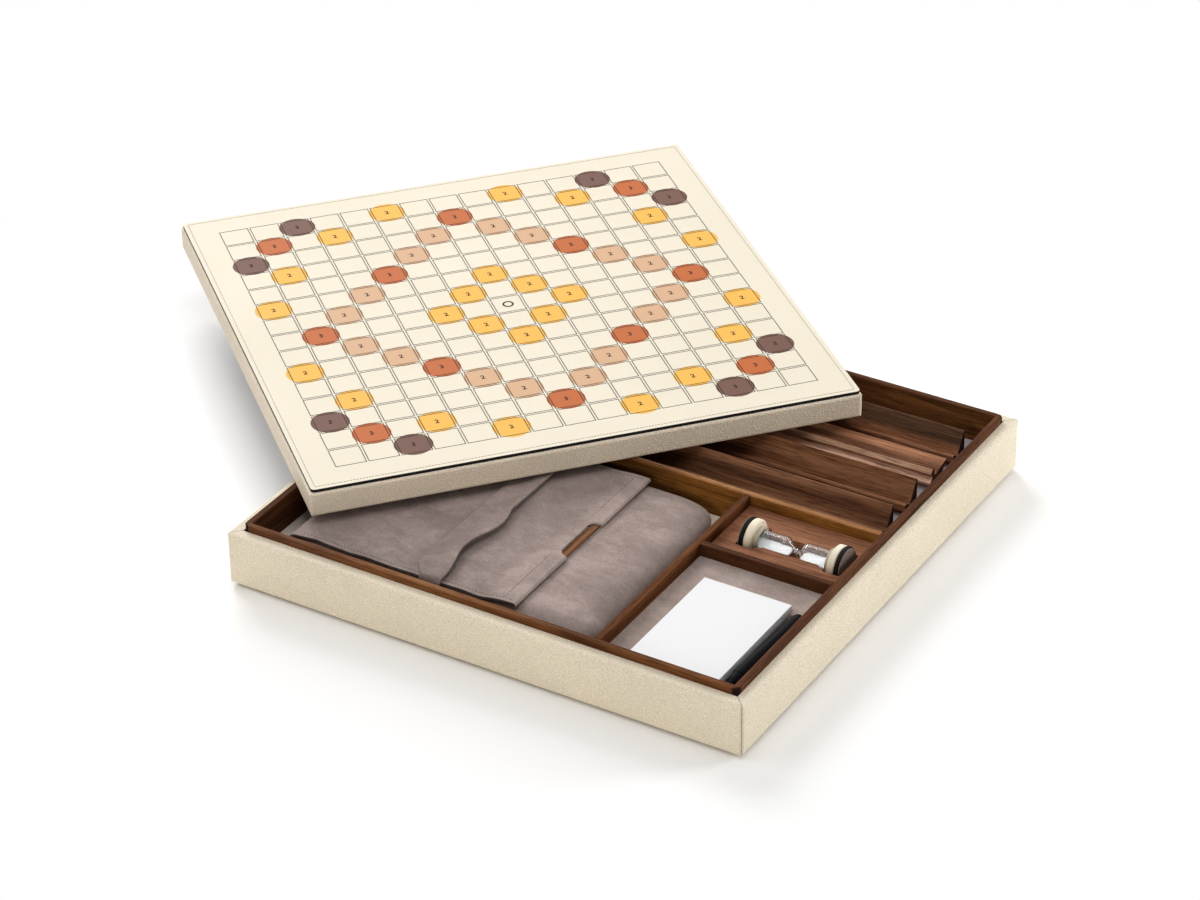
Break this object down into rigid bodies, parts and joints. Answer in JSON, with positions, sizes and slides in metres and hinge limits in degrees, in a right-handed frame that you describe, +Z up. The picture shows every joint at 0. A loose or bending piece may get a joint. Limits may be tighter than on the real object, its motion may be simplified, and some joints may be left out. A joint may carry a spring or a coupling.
{
  "type": "word tile game case",
  "caption": "Square leather-wrapped game case with a walnut-framed, divided tray and a flat lid that is the playing board, holding tile racks, a tile pouch, a sand timer, a notepad and a pen.",
  "frame": {"origin": "centre of the underside of the base", "axes": "+X along the base's front edge to the right, +Y to the back, +Z up"},
  "size_m": [0.6565, 0.6013, 0.0679],
  "materials": {
    "leather_cream": "pebbled leather, matte",
    "leather_floor": "smooth leather, matte",
    "board_surface": "fine smooth leather, printed",
    "edge_paint": "black edge paint",
    "walnut": "oiled walnut, satin",
    "walnut_dark": "dark end grain",
    "suede_taupe": "suede",
    "suede_grey": "suede",
    "fibreboard": "plain fibreboard",
    "glass": "clear glass",
    "sand": "fine white sand",
    "cap_cream": "satin lacquer",
    "cap_black": "satin lacquer",
    "paper": "uncoated paper",
    "card": "grey card",
    "pen_black": "soft black",
    "pen_metal": "polished",
    "tile_cream": "lacquered tile"
  },
  "bodies": {
    "base": {"underside_pad": "suede_grey", "base_bottom_board": "fibreboard", "base_walls": "fibreboard", "base_leather": "leather_cream", "frame_front": "walnut", "frame_back": "walnut", "frame_left": "walnut", "frame_right": "walnut", "corner_splines": "walnut_dark", "long_divider": "walnut", "front_divider": "walnut", "cross_divider": "walnut", "rack_bay_floor": "suede_grey", "pouch_bay_floor": "leather_floor", "notepad_platform": "suede_taupe", "timer_cradle": "walnut"},
    "lid": {"lid_rails": "fibreboard", "lid_panel": "fibreboard", "lid_leather": "leather_cream", "lid_lining": "suede_grey", "mat_core": "edge_paint", "board_mat": "board_surface"},
    "rack_1": {"rack_1": "walnut"},
    "rack_2": {"rack_2": "walnut"},
    "rack_3": {"rack_3": "walnut"},
    "rack_4": {"rack_4": "walnut"},
    "pouch": {"pouch_back": "suede_taupe", "pouch_front": "suede_taupe", "pouch_flap": "suede_taupe", "pouch_strap": "suede_taupe", "closure_slat": "walnut", "letter_tiles": "tile_cream"},
    "timer": {"timer_glass": "glass", "timer_sand": "sand", "timer_cap_left": "cap_cream", "timer_cap_right": "cap_cream", "timer_bands": "cap_black", "timer_end_discs": "suede_taupe"},
    "notepad": {"notepad_sheets": "paper", "notepad_card": "card"},
    "pen": {"pen_barrel": "pen_black", "pen_nose": "pen_black", "pen_refill": "pen_metal", "pen_end_cap": "pen_black"}
  },
  "joints": [
    {"name": "lid_lift", "type": "slide", "parent": "base", "child": "lid", "axis": [0, 0, 1], "range_m": [0, 0.15]},
    {"name": "rack_1_lift", "type": "slide", "parent": "base", "child": "rack_1", "axis": [0, 0, 1], "range_m": [0, 0.06]},
    {"name": "rack_2_lift", "type": "slide", "parent": "base", "child": "rack_2", "axis": [0, 0, 1], "range_m": [0, 0.06]},
    {"name": "rack_3_lift", "type": "slide", "parent": "base", "child": "rack_3", "axis": [0, 0, 1], "range_m": [0, 0.06]},
    {"name": "rack_4_lift", "type": "slide", "parent": "base", "child": "rack_4", "axis": [0, 0, 1], "range_m": [0, 0.06]},
    {"name": "pouch_lift", "type": "slide", "parent": "base", "child": "pouch", "axis": [0, 0, 1], "range_m": [0, 0.06]},
    {"name": "timer_lift", "type": "slide", "parent": "base", "child": "timer", "axis": [0, 0, 1], "range_m": [0, 0.06]},
    {"name": "notepad_lift", "type": "slide", "parent": "base", "child": "notepad", "axis": [0, 0, 1], "range_m": [0, 0.05]},
    {"name": "pen_lift", "type": "slide", "parent": "base", "child": "pen", "axis": [0, 0, 1], "range_m": [0, 0.05]}
  ],
  "couplings": [
    {"joint": "rack_1_lift", "follows": "lid_lift", "ratio": 0.4},
    {"joint": "rack_2_lift", "follows": "lid_lift", "ratio": 0.4},
    {"joint": "rack_3_lift", "follows": "lid_lift", "ratio": 0.4},
    {"joint": "rack_4_lift", "follows": "lid_lift", "ratio": 0.4},
    {"joint": "pouch_lift", "follows": "lid_lift", "ratio": 0.4}
  ]
}
